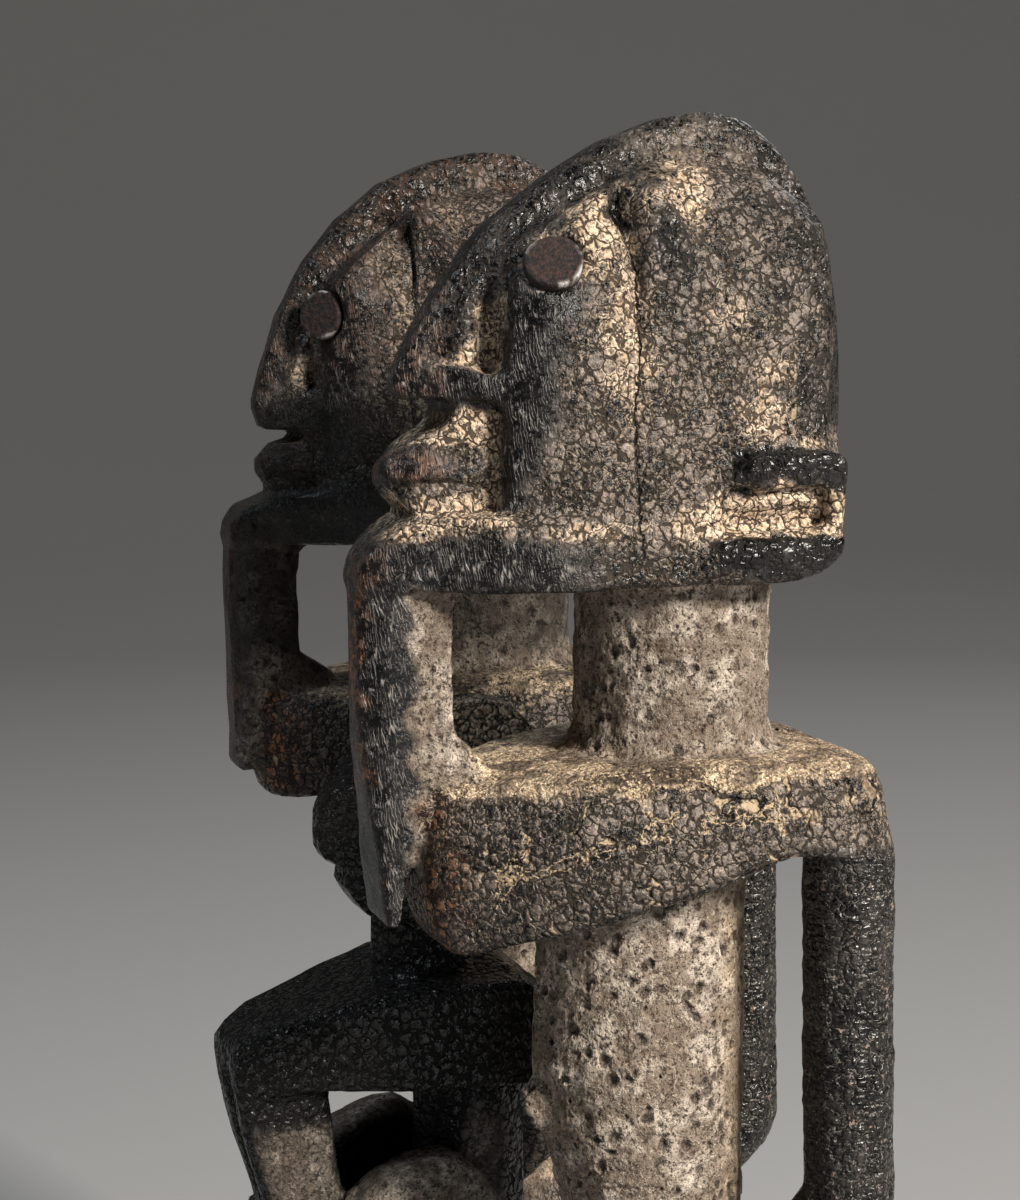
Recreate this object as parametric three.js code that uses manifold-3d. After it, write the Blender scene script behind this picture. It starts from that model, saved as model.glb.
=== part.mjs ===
// A carved altar group: two tall bearded figures on stools side by side, a small squatting
// figure in front of and between them, all cut with their plinth from one block of wood.
// Iron nail heads are the eyes of the tall figures. Millimetres, +Z up. The figures face -Y.
// The origin is the middle of the plinth's underside.

import * as THREE from 'three';
import { mergeVertices } from 'three/addons/utils/BufferGeometryUtils.js';
import Module from 'manifold-3d';

const wasm = await Module();
wasm.setup();

// Driving dimensions
const plinth = { width: 222, depth: 152, height: 14, cornerRadius: 9, bevel: 2 };
const figureSpacing = 120;
const figureAxisY = 17;
const stool = { seatRadius: 36, waistRadius: 25, topZ: 90, discHeight: 10, y: 21 };
const pedestal = { radius: 29, waistRadius: 24, topZ: 92, discHeight: 8, y: -27 };
const headHalfWidth = 25;
const crestHalfWidth = 7;
const slabHalfWidth = 38;
const armRadius = 9.7;
const armSpacing = 56;
const nailHead = { radius: 6, thickness: 3.2, gap: 0.3 };
const roundSides = 16;
const limbSides = 10;

// The two tall figures share one form. Heights are above the plinth's underside, depths are
// from the figure's own axis, and forward is negative.
const nearFigure = {
  x: figureSpacing / 2,
  crown: [12.6, 369.3],
  brow: [[-47.8, 326], [-33.6, 346], [-8.7, 363.3]],
  nape: [[27.5, 363.1], [38.5, 344.2], [42, 320], [42.5, 300]],
  hairline: [-7, 353],
  faceFront: -32,
  noseTip: [-53, 315.5],
  noseUnder: 312.8,
  lipTop: 308,
  lipFront: [-55, 298],
  lipBottom: 289.5,
  chin: [-60, 281.5],
  jawUnder: [276, 277],
  beardBack: -41.3,
  beardTip: [-55.5, 209.5],
  beardTipDepth: 3,
  slabFront: -49.5,
  slabTopFront: 237,
  slabUnderFront: [-44, 203],
  slabUnderBack: 224.5,
  eye: [-25, 339],
  eyeHalfWidth: 19,
  eyeFacing: [0.8, -0.27, 0.54],
};
const farFigure = {
  ...nearFigure,
  x: -figureSpacing / 2,
  crown: [4, 368.6],
  brow: [[-51, 316.5], [-40.9, 340.8], [-20.8, 360.9]],
  nape: [[21, 364.5], [35, 346], [40, 322], [41, 300]],
  hairline: [-20, 351],
  faceFront: -37.5,
  noseTip: [-53.6, 307],
  noseUnder: 301.2,
  lipTop: 299,
  lipFront: [-52.4, 292.5],
  lipBottom: 285,
  chin: [-60, 279],
  jawUnder: [274, 279],
  beardBack: -43.6,
  beardTip: [-59, 218.5],
  beardTipDepth: 7,
  slabFront: -53.4,
  slabTopFront: 239,
  slabUnderFront: [-52.5, 211.5],
  slabUnderBack: 221,
  eye: [-39.3, 328.8],
  eyeHalfWidth: 14,
  eyeFacing: [0.64, -0.75, 0.15],
};

// Turns a closed three.js geometry into a solid that can be joined and cut
function solid(geometry, matrix = new THREE.Matrix4()) {
  const bare = geometry.clone().applyMatrix4(matrix);
  bare.deleteAttribute('normal');
  bare.deleteAttribute('uv');
  const merged = mergeVertices(bare, 1e-3);
  const mesh = new wasm.Mesh({
    numProp: 3,
    vertProperties: Float32Array.from(merged.attributes.position.array),
    triVerts: Uint32Array.from(merged.index.array),
  });
  return new wasm.Manifold(mesh);
}

function join(pieces) {
  return pieces.reduce((sum, piece) => sum.add(piece));
}

function shapeOf(points) {
  return new THREE.Shape(points.map(([a, b]) => new THREE.Vector2(a, b)));
}

// Points along a smooth curve through the given ones
function curved(points, count) {
  const curve = new THREE.SplineCurve(points.map(([a, b]) => new THREE.Vector2(a, b)));
  return curve.getPoints(count).map((p) => [p.x, p.y]);
}

function mirrored(halfOutline) {
  const other = halfOutline.filter(([x]) => Math.abs(x) > 1e-6).map(([x, v]) => [-x, v]);
  return [...halfOutline, ...other.reverse()];
}

function extruded(points, length, bevel, turn) {
  const geometry = new THREE.ExtrudeGeometry(shapeOf(points), {
    depth: length - 2 * bevel,
    bevelEnabled: bevel > 0,
    bevelThickness: bevel,
    bevelSize: bevel,
    bevelOffset: -bevel,
    bevelSegments: bevel > 3 ? 2 : 1,
    steps: 1,
  });
  geometry.translate(0, 0, bevel);
  return solid(geometry, turn);
}

// Sawn from the side: points are [y, z], the cut runs from x0 to x1
function sideCut(points, x0, x1, bevel = 0) {
  const turn = new THREE.Matrix4().makeBasis(
    new THREE.Vector3(0, 1, 0), new THREE.Vector3(0, 0, 1), new THREE.Vector3(1, 0, 0));
  turn.setPosition(x0, 0, 0);
  return extruded(points, x1 - x0, bevel, turn);
}

// Sawn from above: points are [x, y], the cut runs from z0 up to z1
function planCut(points, z0, z1, bevel = 0) {
  return extruded(points, z1 - z0, bevel, new THREE.Matrix4().makeTranslation(0, 0, z0));
}

// Sawn from the front: points are [x, z], the cut runs from y0 back to y1
function frontCut(points, y0, y1) {
  const turn = new THREE.Matrix4().makeBasis(
    new THREE.Vector3(1, 0, 0), new THREE.Vector3(0, 0, 1), new THREE.Vector3(0, -1, 0));
  turn.setPosition(0, y1, 0);
  return extruded(points, y1 - y0, 0, turn);
}

// A round form about an upright axis: profile is [radius, z, shift], where shift moves that
// ring along Y, and width narrows the form along X
function turned(profile, x, y, sides = roundSides, width = 1) {
  const last = profile[profile.length - 1];
  const closed = [[0, profile[0][1], profile[0][2]], ...profile, [0, last[1], last[2]]];
  const lathe = new THREE.LatheGeometry(closed.map(([r, z]) => new THREE.Vector2(r, z)), sides);
  const place = lathe.attributes.position;
  for (let i = 0; i < place.count; i += 1) {
    place.setZ(i, place.getZ(i) - (closed[i % closed.length][2] ?? 0));
  }
  const turn = new THREE.Matrix4().makeBasis(
    new THREE.Vector3(width, 0, 0), new THREE.Vector3(0, 0, 1), new THREE.Vector3(0, -1, 0));
  turn.setPosition(x, y, 0);
  return solid(lathe, turn);
}

// Layers of one convex outline, each drawn in towards the point [0, middleY]: layers are
// [z, share]
function lofted(outline, middleY, layers) {
  const count = outline.length;
  const places = layers.flatMap(([z, share]) => outline.flatMap(
    ([x, y]) => [x * share, middleY + (y - middleY) * share, z]));
  const faces = [];
  const top = (layers.length - 1) * count;
  for (let i = 1; i < count - 1; i += 1) {
    faces.push(0, i + 1, i, top, top + i, top + i + 1);
  }
  for (let low = 0; low < top; low += count) {
    for (let i = 0; i < count; i += 1) {
      const j = (i + 1) % count;
      faces.push(low + i, low + j, low + count + j, low + i, low + count + j, low + count + i);
    }
  }
  const geometry = new THREE.BufferGeometry();
  geometry.setAttribute('position', new THREE.Float32BufferAttribute(places, 3));
  geometry.setIndex(faces);
  return solid(geometry);
}

// A limb between two points with rounded ends
function limb(from, to, radiusFrom, radiusTo, sides = limbSides) {
  const start = new THREE.Vector3(...from);
  const end = new THREE.Vector3(...to);
  const length = start.distanceTo(end);
  const profile = [
    [0, -radiusFrom], [radiusFrom * 0.7, -radiusFrom * 0.7], [radiusFrom, 0],
    [radiusTo, length], [radiusTo * 0.7, length + radiusTo * 0.7], [0, length + radiusTo],
  ];
  const lathe = new THREE.LatheGeometry(profile.map(([r, z]) => new THREE.Vector2(r, z)), sides);
  const along = new THREE.Quaternion().setFromUnitVectors(
    new THREE.Vector3(0, 1, 0), end.clone().sub(start).normalize());
  return solid(lathe, new THREE.Matrix4().compose(start, along, new THREE.Vector3(1, 1, 1)));
}

function bothSides(piece) {
  return piece.add(piece.mirror([1, 0, 0]));
}

// The head: a tall blade from the nose over the crown, the skull's raised sides, cheek
// columns, an arrow nose, projecting lips and a jaw bar that carries the ears
function head(f) {
  const w = headHalfWidth;
  const [noseY, noseZ] = f.noseTip;
  const [lipY, lipZ] = f.lipFront;
  const [chinY, chinZ] = f.chin;
  const [jawFrontZ, jawBackZ] = f.jawUnder;
  const [hairY, hairZ] = f.hairline;
  const napeY = f.nape[f.nape.length - 1][0];

  const overTop = curved([f.noseTip, ...f.brow, f.crown, ...f.nape], 16);
  const blade = sideCut(
    [...overTop, [napeY - 6, 281], [-30, 281], [-34, f.lipTop], [-40, f.noseUnder],
      [noseY + 2.5, f.noseUnder]],
    -crestHalfWidth, crestHalfWidth, 2.5)
    .intersect(planCut(mirrored([[2.5, -55], [5, -47], [crestHalfWidth, -32],
      [crestHalfWidth, 50]]), 270, 380));

  const archOf = (half) => mirrored([[half, 268], [half, 328], [half - 2.5, 342],
    [half - 8.5, 354], [half - 15, 361], [0, 363]]);
  const face = f.faceFront;
  const skullSide = [...curved([[face, 336], [face + 12, 347], [-8, 356], [12, 361], [28, 352],
    [37, 338], [41, 300]], 10), [37, 279], [face - 2, 279], [face - 3, 296]];
  const skull = sideCut(skullSide, -w, w)
    .intersect(frontCut(mirrored([[w - 0.7, 268], [w - 0.7, 324], [w - 5, 342],
      [w - 11, 354], [w - 18, 361], [0, 363]]), -60, 60))
    .intersect(planCut(mirrored([[w - 15, face - 2], [w - 8, face - 1], [w - 3.5, face + 4],
      [w - 0.7, face + 13], [w - 0.7, 18], [w - 8, 32], [w - 16, 40], [0, 42]]), 260, 380));

  const plateSide = [[hairY, 282], [hairY, hairZ], [hairY + 4, hairZ + 3],
    ...curved([[8, 358.5], [20, 355], [31, 344], [37, 328], [39, 300]], 7), [36, 282]];
  const plates = sideCut(plateSide, -w, w)
    .intersect(frontCut(archOf(w), -60, 60))
    .intersect(planCut(mirrored([[13, hairY - 1], [w, hairY], [w, 18], [20, 32], [11, 40]]),
      260, 380));

  const faceCore = planCut(mirrored([[5, face - 13], [9.5, face - 8], [9, face - 5], [7.5, face - 3],
    [12, face + 2], [12, 10]]), 281, 356)
    .intersect(sideCut([[-46, noseZ + 8], [-32, 342], [-8, 356], [10, 356], [10, 281],
      [-34, 281], [-36, f.noseUnder], [-46, f.noseUnder]], -20, 20));

  const ledge = sideCut([f.noseTip, [noseY + 3, noseZ + 4], [-44, noseZ + 4.5],
    [-28, noseZ + 0.5], [-28, f.noseUnder], [noseY + 2, f.noseUnder]], -17, 17)
    .intersect(planCut(mirrored([[1.5, noseY], [9, noseY + 8], [15, -37], [16.5, -28]]),
      290, 330));

  const tongue = mirrored([[0, lipY], [5, lipY + 1], [9, lipY + 5], [10.5, lipY + 11],
    [11, -30]]);
  const mouth = sideCut([[-28, f.noseUnder + 1], [-41, f.noseUnder + 1], [-43, f.lipTop],
    [lipY + 4, lipZ + 5.5], lipY > -54 ? [lipY, lipZ] : [lipY, lipZ - 1],
    [lipY + 2.5, lipZ - 5], [-47, f.lipBottom], [-28, f.lipBottom - 2]], -12, 12)
    .intersect(planCut(tongue, 270, 330));
  const lip = planCut(tongue.map(([x, y]) => [x * 1.12, y > -40 ? -37 : y - 0.6]),
    lipZ - 4.2, lipZ + 4.3, 2.5);

  const jaw = sideCut([[-45, f.lipBottom + 1.5], [-51, f.lipBottom], [chinY + 3, chinZ + 4],
    f.chin, [chinY - 0.5, chinZ - 4], [chinY, jawFrontZ], [-36, jawFrontZ], [8, jawBackZ],
    [24, jawBackZ + 1.5], [34, jawBackZ + 6], [36, 288], [-28, 291]], -27, 27)
    .intersect(planCut(mirrored([[6, chinY - 1], [10, chinY + 4], [14, -45], [21, -36],
      [w, -26], [w + 0.7, 0], [w + 0.7, 22], [21, 33], [12, 37]]), 260, 295));

  const earUpper = sideCut([[6, 296.5], [8, 299.5], [16, 301.8], [31, 303], [34, 301],
    [34, 296], [16, 295]], 18, w + 2.5, 1.2);
  const earBack = sideCut([[29, 279], [33, 282], [34, 301], [30, 299]], 18, w + 1.8);
  const earLower = sideCut([[1, 279], [6, 286], [32, 288], [34, 285], [29, 279],
    [23, 277], [8, 276.5]], 18, w + 2.7, 1.2);
  const earHollow = sideCut([[8, 287], [30, 288], [30, 297], [8, 296]], w - 2.5, w + 1);

  const beard = sideCut([f.chin, [chinY - 0.6, 262], [chinY, 248], f.beardTip,
    [f.beardTip[0] + f.beardTipDepth, f.beardTip[1]], [f.slabFront + 1, 232], [-33, 236],
    [-35, 243], [f.beardBack, 248], [f.beardBack, jawFrontZ - 3],
    [f.beardBack + 3, jawFrontZ + 2]], -10, 10)
    .intersect(planCut(mirrored([[0, chinY - 0.8], [4.5, chinY], [8.5, chinY + 4],
      [9.5, chinY + 9], [9.5, -30]]), 200, 290));

  return join([blade, skull, plates, faceCore, ledge, mouth, lip, jaw, beard])
    .subtract(bothSides(earHollow))
    .add(bothSides(join([earUpper, earBack, earLower])));
}

// The neck, the chest and shoulders as one prow-shaped slab, the torso with its navel, and
// arms that hang behind it and come forward to the thighs
function trunk(f) {
  const neck = turned([[20.4, 236], [21.6, 243.5], [20.4, 247], [20.6, 280]], 0, 7.2);

  const half = slabHalfWidth;
  const slabPlan = mirrored([[0, f.slabFront], [8, f.slabFront + 1], [13, f.slabFront + 3],
    [18, f.slabFront + 9], [30, -23], [36, -6], [half, 8], [half, 33], [half - 3, 39.5],
    [half - 9, 43], [0, 43.5]]);
  const [underY, underZ] = f.slabUnderFront;
  const slabSide = [[f.slabFront, f.slabTopFront - 4], [f.slabFront + 4, f.slabTopFront],
    [-25, 241], [0, 243], [38, 243], [43, 239], [43.5, 224], [26, 224], [20, f.slabUnderBack],
    [underY, underZ], [Math.min(underY, f.slabFront + 2), underZ + 9]];
  const slab = lofted(slabPlan, 24, [[190, 1], [228, 1], [236, 0.97], [241, 0.91],
    [243.8, 0.79]]).intersect(sideCut(slabSide, -half, half));

  const torso = turned([[19.5, 104, 6], [18.2, 120, 5.8], [18.2, 134, 5.4], [20.2, 150, 3],
    [22, 164, 1.2], [22.8, 176, 0.5], [22.5, 192, 0.9], [21.8, 228, 1.2]], 0, 0,
  roundSides, 0.94);
  const navel = limb([0, -12, 169], [0, -20.3, 168], 8, 6.2);
  const hips = turned([[18, 88, 5], [24, 93, 4], [25, 103, 4], [20, 116, 5.5]], 0, 0);

  const armX = armSpacing / 2;
  const upperArm = limb([armX, 34, 227], [armX, 35.5, 151], armRadius, armRadius);
  const forearm = limb([armX, 35, 150], [armX - 6, -3, 114], armRadius - 0.5, 7);
  const hand = sideCut([[0, 104], [0, 117], [-10, 115.5], [-25, 109], [-25, 103], [-12, 100]],
    15, 28, 1.5);
  const thigh = limb([12, 2, 100], [18, -45, 95.5], 13, 10);
  const shin = limb([18, -46, 95], [18, -48, 24], 9.5, 7.5);
  const foot = sideCut([[-40, 12], [-40, 24], [-54, 27], [-74, 19], [-76, 12]], 10, 26, 2.5);

  return join([neck, slab, torso, navel, hips,
    bothSides(join([upperArm, forearm, hand, thigh, shin, foot]))]);
}

function stoolOf(spec, x) {
  const { topZ, discHeight, y } = spec;
  const rim = spec.seatRadius ?? spec.radius;
  const low = plinth.height - 2;
  return turned([[rim, low], [rim, low + discHeight], [spec.waistRadius, low + discHeight + 12],
    [spec.waistRadius, topZ - discHeight - 9], [rim - 1.5, topZ - discHeight], [rim, topZ]],
  x, y, roundSides);
}

function tallFigure(f) {
  const carved = join([head(f), trunk(f)]);
  return carved.translate([f.x, figureAxisY, 0]);
}

// The small figure squats with its knees drawn up. Its arms reach forward in one slab and
// come down in front of its shins.
function smallFigure() {
  const headSide = [...curved([[-53.4, 220], [-50.3, 225], [-43, 230.5], [-30, 239], [-16, 244],
    [-6, 240], [-2, 226], [-5, 206]], 12), [-18, 194], [-42.8, 196], [-45.5, 199.5],
    [-48.4, 203.5], [-46, 206.5], [-51.5, 208.5], [-53.4, 211.5]];
  const headFront = mirrored([[11, 190], [14, 200], [14, 226], [10, 236], [4, 245]]);
  const skull = sideCut(headSide, -14, 14).intersect(frontCut(headFront, -60, 0))
    .intersect(planCut(mirrored([[3, -55], [6, -48], [9, -42], [13, -36], [14, -12], [8, -2]]),
      190, 250));
  const neck = turned([[11.5, 172], [11, 200]], 0, -29.5, limbSides);

  const slabPlan = mirrored([[9, -75], [13, -71], [17, -54], [24, -34], [25, -8], [20, -2]]);
  const slabSide = [[-75, 165], [-74, 170], [-67, 174], [-50, 179.5], [-34, 183], [-12, 184],
    [-2, 178], [-8, 160], [-72, 160]];
  const slab = planCut(slabPlan, 150, 190).intersect(sideCut(slabSide, -25, 25));

  const torso = turned([[13.5, 96], [13.5, 168]], 0, -17.5, limbSides);
  const forearmSide = [[-75, 168], [-74, 158], [-71, 145], [-67, 132], [-58, 100], [-46, 100],
    [-49, 128], [-53.5, 160], [-56, 168]];
  const forearm = sideCut(forearmSide, 2.5, 13, 1.5);
  const legSide = [...curved([[-58, 126], [-50, 138], [-40, 144], [-29, 146], [-20, 139],
    [-10, 122], [-4, 104]], 8), [-6, 90], [-62, 90], [-66, 98], [-62, 108]];
  const leg = sideCut(legSide, 11.5, 27, 3.5);
  const shinHollow = sideCut([[-50, 99], [-44, 120], [-32, 128], [-22, 116], [-20, 99]], 20, 30);
  return join([skull, neck, slab, torso, bothSides(forearm), bothSides(leg.subtract(shinHollow))])
    .translate([0, figureAxisY, 0]);
}

function plinthBlock() {
  const { width, depth, height, cornerRadius, bevel } = plinth;
  const shape = new THREE.Shape();
  const w = width / 2 - cornerRadius;
  const d = depth / 2 - cornerRadius;
  const quarter = Math.PI / 2;
  [[w, d, 0], [-w, d, 1], [-w, -d, 2], [w, -d, 3]].forEach(([x, y, turn]) => {
    shape.absarc(x, y, cornerRadius, turn * quarter, (turn + 1) * quarter, false);
  });
  const corners = shape.extractPoints(4).shape.map((p) => [p.x, p.y]);
  return planCut(corners, -bevel, height, bevel).intersect(
    planCut([[-width, -depth], [width, -depth], [width, depth], [-width, depth]], 0, height + 1));
}

// Where a nail head lies: on the side of the face, turned a little forward and up
function eyePlace(f, side) {
  const [out, forward, up] = f.eyeFacing;
  const facing = new THREE.Vector3(side * out, forward, up).normalize();
  const place = new THREE.Vector3(
    f.x + side * f.eyeHalfWidth, figureAxisY + f.eye[0], f.eye[1]);
  const turn = new THREE.Quaternion().setFromUnitVectors(new THREE.Vector3(0, 1, 0), facing);
  return new THREE.Matrix4().compose(place, turn, new THREE.Vector3(1, 1, 1));
}

function nailDisc() {
  const r = nailHead.radius;
  const h = nailHead.thickness / 2;
  const profile = [[0, -h], [r, -h], [r, h - 1], [r - 1.2, h - 0.2], [0, h]];
  return new THREE.LatheGeometry(profile.map(([a, b]) => new THREE.Vector2(a, b)), roundSides);
}

// The seat a nail head is driven into, open outwards
function nailSeat() {
  const r = nailHead.radius + nailHead.gap;
  const floor = -nailHead.thickness / 2 - nailHead.gap;
  const profile = [[0, floor], [r, floor], [r + 1, 5], [0, 5]];
  return new THREE.LatheGeometry(profile.map(([a, b]) => new THREE.Vector2(a, b)), roundSides);
}

function carvedBlock() {
  let carving = join([
    plinthBlock(),
    stoolOf(stool, nearFigure.x),
    stoolOf(stool, farFigure.x),
    stoolOf(pedestal, 0),
    tallFigure(nearFigure),
    tallFigure(farFigure),
    smallFigure(),
  ]);
  [nearFigure, farFigure].forEach((f) => {
    [-1, 1].forEach((side) => {
      carving = carving.subtract(solid(nailSeat(), eyePlace(f, side)));
    });
  });
  return carving;
}

function meshOf(name, manifold, material) {
  const { vertProperties, triVerts } = manifold.getMesh();
  const geometry = new THREE.BufferGeometry();
  geometry.setAttribute('position', new THREE.BufferAttribute(vertProperties, 3));
  geometry.setIndex(new THREE.BufferAttribute(triVerts, 1));
  const mesh = new THREE.Mesh(geometry, material);
  mesh.name = name;
  return mesh;
}

function wood() {
  return new THREE.MeshStandardMaterial({ color: 0x3a2e26, roughness: 0.7, metalness: 0 });
}

function rustyIron() {
  return new THREE.MeshStandardMaterial({ color: 0x3b2722, roughness: 0.6, metalness: 0.6 });
}

const statue = new THREE.Group();
statue.add(meshOf('carved_block', carvedBlock(), wood()));
[['near', nearFigure], ['far', farFigure]].forEach(([which, f]) => {
  [['left', 1], ['right', -1]].forEach(([hand, side]) => {
    const disc = solid(nailDisc(), eyePlace(f, side));
    statue.add(meshOf(`${which}_figure_${hand}_eye`, disc, rustyIron()));
  });
});

export default statue;
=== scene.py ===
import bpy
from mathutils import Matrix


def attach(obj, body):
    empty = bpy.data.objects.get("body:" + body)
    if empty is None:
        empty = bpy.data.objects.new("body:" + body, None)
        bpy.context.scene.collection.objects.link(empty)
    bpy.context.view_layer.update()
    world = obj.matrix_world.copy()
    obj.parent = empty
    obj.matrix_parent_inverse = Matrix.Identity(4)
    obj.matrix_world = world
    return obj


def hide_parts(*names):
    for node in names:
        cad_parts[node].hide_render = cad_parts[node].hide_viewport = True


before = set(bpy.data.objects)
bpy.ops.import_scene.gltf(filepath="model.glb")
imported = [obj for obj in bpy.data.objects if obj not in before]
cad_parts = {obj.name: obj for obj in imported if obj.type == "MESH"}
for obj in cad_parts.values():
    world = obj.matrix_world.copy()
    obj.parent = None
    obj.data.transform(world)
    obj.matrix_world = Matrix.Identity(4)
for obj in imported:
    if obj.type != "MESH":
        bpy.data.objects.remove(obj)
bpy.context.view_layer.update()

import math

import bmesh
import bpy
import numpy as np
from mathutils import Matrix, Vector, noise

# The viewpoint. The statue is seen from the tall figures' left side, from a little above the
# chin, through a long lens.
lens = bpy.data.cameras.new("viewpoint")
lens.lens = 72
lens.sensor_width = 36
lens.clip_start = 0.01
turn, dip = math.radians(18.4), math.radians(6.89)
ahead = Vector((-math.cos(turn) * math.cos(dip), math.sin(turn) * math.cos(dip), -math.sin(dip)))
right = Vector((math.sin(turn), math.cos(turn), 0))
viewpoint = bpy.data.objects.new("viewpoint", lens)
viewpoint.matrix_world = Matrix((right, right.cross(ahead), -ahead)).transposed().to_4x4()
viewpoint.matrix_world.translation = Vector((0.51057, -0.16028, 0.330))
bpy.context.scene.collection.objects.link(viewpoint)
bpy.context.scene.camera = viewpoint


# The carved group: two tall seated figures, the small one in front, their stools and the plinth.
# All of it is one block of hardwood, cut with adze and knife, then worn, crackled and dusted by
# long use. The neck and the torsos are bare and eaten into small pits.
def node_of(tree, kind, *inputs, **settings):
    node = tree.nodes.new(kind)
    for key, value in settings.items():
        setattr(node, key, value)
    for place, value in enumerate(inputs):
        if isinstance(value, bpy.types.NodeSocket):
            tree.links.new(value, node.inputs[place])
        elif value is not None:
            node.inputs[place].default_value = value
    return node


def soft(values, low, high):
    step = np.clip((values - low) / (high - low), 0, 1)
    return step * step * (3 - 2 * step)


def band(values, low, high, edge):
    return soft(values, low - edge, low + edge) * (1 - soft(values, high - edge, high + edge))


def made_plain(piece):
    shown = piece.evaluated_get(bpy.context.evaluated_depsgraph_get())
    mesh = bpy.data.meshes.new_from_object(shown)
    piece.modifiers.clear()
    old = piece.data
    piece.data = mesh
    mesh.name = piece.name
    bpy.data.meshes.remove(old)


def shaped_by(piece, tree, values):
    shaping = piece.modifiers.new(tree.name, "NODES")
    shaping.node_group = tree
    asked = [item for item in tree.interface.items_tree if item.in_out == "INPUT"]
    for socket, value in zip(asked[1:], values):
        shaping[socket.identifier] = value
    made_plain(piece)


touching = 1e-6  # points closer than this, in metres, are one
chip_size = 0.0008  # metres
rounding_steps = {"Edge steps": 7, "Wide steps": 90}
relief_sizes = {"Knife marks": 1.1, "Pit depth": 1.5, "Pit spacing": 3.1, "Arm wrinkles": 0.3,
                "Crack depth": 0.45, "Crack spacing": 9.0}  # millimetres
face_budget = 193000
figure_x, figure_y = 60.0, 17.0  # millimetres, the middle line of each tall figure

block = bpy.data.objects.new("carved_group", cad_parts["carved_block"].data.copy())
bpy.context.scene.collection.objects.link(block)
block.data.materials.clear()
welded = bmesh.new()
welded.from_mesh(block.data)
bmesh.ops.remove_doubles(welded, verts=welded.verts, dist=touching)
welded.to_mesh(block.data)
welded.free()
chips = block.modifiers.new("chips", "REMESH")
chips.mode = "VOXEL"
chips.voxel_size = chip_size
made_plain(block)

# Rounding: the knife leaves no sharp edge, and hands wear the ridges down further
rounding = bpy.data.node_groups.new("knife_rounding", "GeometryNodeTree")
rounding.interface.new_socket("Wood", in_out="INPUT", socket_type="NodeSocketGeometry")
for socket in rounding_steps:
    rounding.interface.new_socket(socket, in_out="INPUT", socket_type="NodeSocketInt")
rounding.interface.new_socket("Wood", in_out="OUTPUT", socket_type="NodeSocketGeometry")
given = rounding.nodes.new("NodeGroupInput").outputs


def blurred_place(tree, steps):
    blur = node_of(tree, "GeometryNodeBlurAttribute", data_type="FLOAT_VECTOR")
    place = node_of(tree, "GeometryNodeInputPosition").outputs[0]
    tree.links.new(place, [s for s in blur.inputs if s.type == "VECTOR"][0])
    tree.links.new(steps, blur.inputs["Iterations"])
    return place, [s for s in blur.outputs if s.type == "VECTOR"][0]


def stored(tree, wood, name, value):
    store = node_of(tree, "GeometryNodeStoreNamedAttribute", wood, data_type="FLOAT",
                    domain="POINT")
    store.inputs["Name"].default_value = name
    tree.links.new(value, store.inputs["Value"])
    return store.outputs[0]


blurred = blurred_place(rounding, given["Edge steps"])[1]
wood = node_of(rounding, "GeometryNodeSetPosition", given["Wood"], None, blurred).outputs[0]
place, blurred = blurred_place(rounding, given["Wide steps"])
gap = node_of(rounding, "ShaderNodeVectorMath", blurred, place, operation="SUBTRACT").outputs[0]
facing = node_of(rounding, "GeometryNodeInputNormal").outputs[0]
depth = node_of(rounding, "ShaderNodeVectorMath", gap, facing,
                operation="DOT_PRODUCT").outputs["Value"]
depth = node_of(rounding, "ShaderNodeMath", depth, 1000.0, operation="MULTIPLY").outputs[0]
wood = stored(rounding, wood, "hollow_wide", depth)
wood = node_of(rounding, "GeometryNodeRealizeInstances", wood).outputs[0]
rounding.links.new(wood, node_of(rounding, "NodeGroupOutput").inputs[0])
shaped_by(block, rounding, rounding_steps.values())


def read_out(source, what, width=1):
    values = np.empty(len(source) * width)
    source.foreach_get(what, values)
    return values.reshape(-1, 3) if width == 3 else values


def kept_as(name, values):
    kind, what = ("FLOAT", "value") if values.ndim == 1 else ("FLOAT_VECTOR", "vector")
    kept = block.data.attributes.new(name, kind, "POINT")
    kept.data.foreach_set(what, values.astype(np.float32).ravel())


count = len(block.data.vertices)
place = read_out(block.data.vertices, "co", 3) * 1000
facing = read_out(block.data.vertex_normals, "vector", 3)
hollow_wide = read_out(block.data.attributes["hollow_wide"].data, "value")

# Where each part lies, in millimetres, from the place and the facing of every point
x, y, z = place[:, 0], place[:, 1] - figure_y, place[:, 2]
side = np.abs(np.abs(x) - figure_x)
small = (np.abs(x) < np.where(z > 192, 20.5, 29.3)) & (y < 0) & (z > 90) & (z < 247)
tall = ~small & (z > 86)
near = x > 0
front = np.where(near, 0, 5.5)
hair = np.where(near, -7, -17)
drop = np.where(near, 0, 6)

# Low carving of the heads. Each mound or hollow has a place, a reach and a rise in millimetres,
# and the place is counted from the hair line in the first list and from the figure in the second.
hair_mounds = ((3, 351, 3.4, 4.5, 1.9), (6.2, 343, 3.4, 7.5, 2.3), (-4.4, 350, 3, 6, -1.5),
               (9, 330, 5, 9, 0.6), (22, 320, 6, 8, -0.7), (14, 300, 4, 6, -0.9))
face_mounds = ((14, 300, 3.6, 2.6, 1.7), (27, 301.5, 6.5, 2.2, 0.9), (6, 296, 4, 2.4, -0.9),
               (11, 283.2, 5.5, 3.2, 1.5), (24, 283.2, 8, 3, 1.0), (19, 288.3, 12, 2.4, -1.3),
               (-30, 284, 9, 3.6, 0.6), (-46, 296.4, 8, 1.1, -1.3))
seam = y - hair + 2.8 - 1.1 * soft(290 - z, 0, 10) - 0.5 * np.sin(z * 0.21 + x)
on_side = tall * soft(z, 274, 280) * soft(np.abs(facing[:, 0]), 0.25, 0.7)
top_corner = soft(z, 322, 346)
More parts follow.
